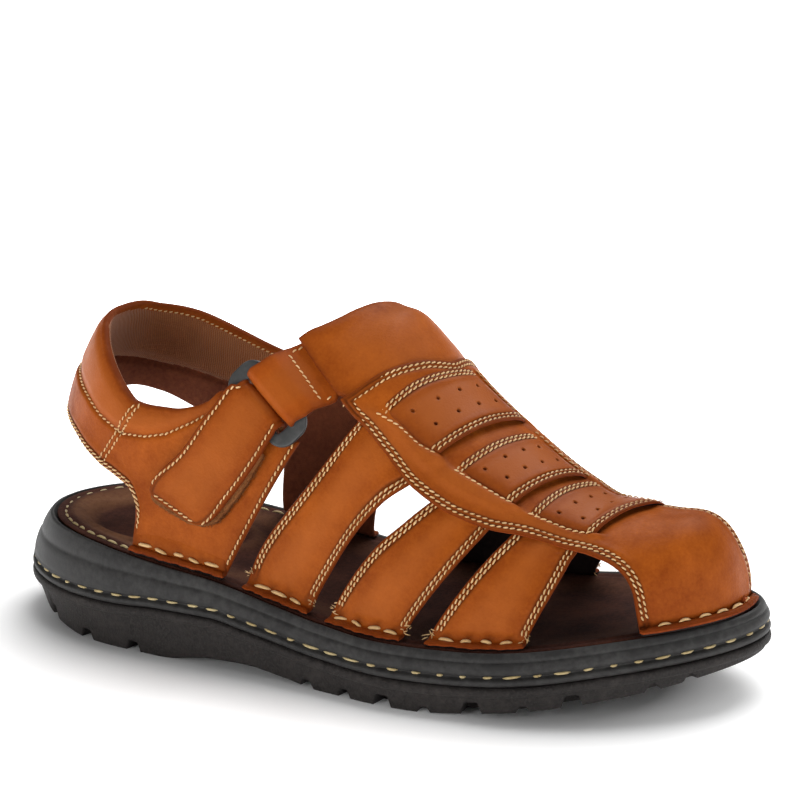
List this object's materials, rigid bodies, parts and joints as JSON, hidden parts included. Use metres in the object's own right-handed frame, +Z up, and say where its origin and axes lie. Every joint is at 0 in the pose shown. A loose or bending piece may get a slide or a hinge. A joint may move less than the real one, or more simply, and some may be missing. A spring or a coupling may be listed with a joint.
{
  "type": "touch-fasten sandal",
  "caption": "Right-foot leather sandal with a closed toe cap, side straps, ribbed vamp, padded heel strap, a touch-fasten strap through a ring, and a lugged rubber sole.",
  "frame": {"origin": "middle of the length and width of the sole, on the floor under it", "axes": "+X to the toe, +Y to the medial side, +Z up"},
  "size_m": [0.292, 0.1082, 0.1264],
  "materials": {
    "tan_leather": "waxed, satin",
    "tan_panel_leather": "waxed, satin",
    "tan_strap_leather": "waxed, satin",
    "tan_tab_leather": "waxed, satin",
    "touch_fabric": "hooks and loops, matte",
    "ring_plastic": "satin",
    "footbed_suede": "brushed, matte",
    "midsole_rubber": "satin",
    "outsole_rubber": "fine grain, matte"
  },
  "bodies": {
    "root": {"upper": "tan_leather", "vamp_panel_rear": "tan_panel_leather", "vamp_panel_middle": "tan_panel_leather", "vamp_panel_front": "tan_panel_leather", "touch_strap": "tan_strap_leather", "ring_tab": "tan_tab_leather", "touch_pad": "touch_fabric", "slide_ring": "ring_plastic", "footbed": "footbed_suede", "midsole": "midsole_rubber", "outsole": "outsole_rubber"}
  },
  "joints": []
}
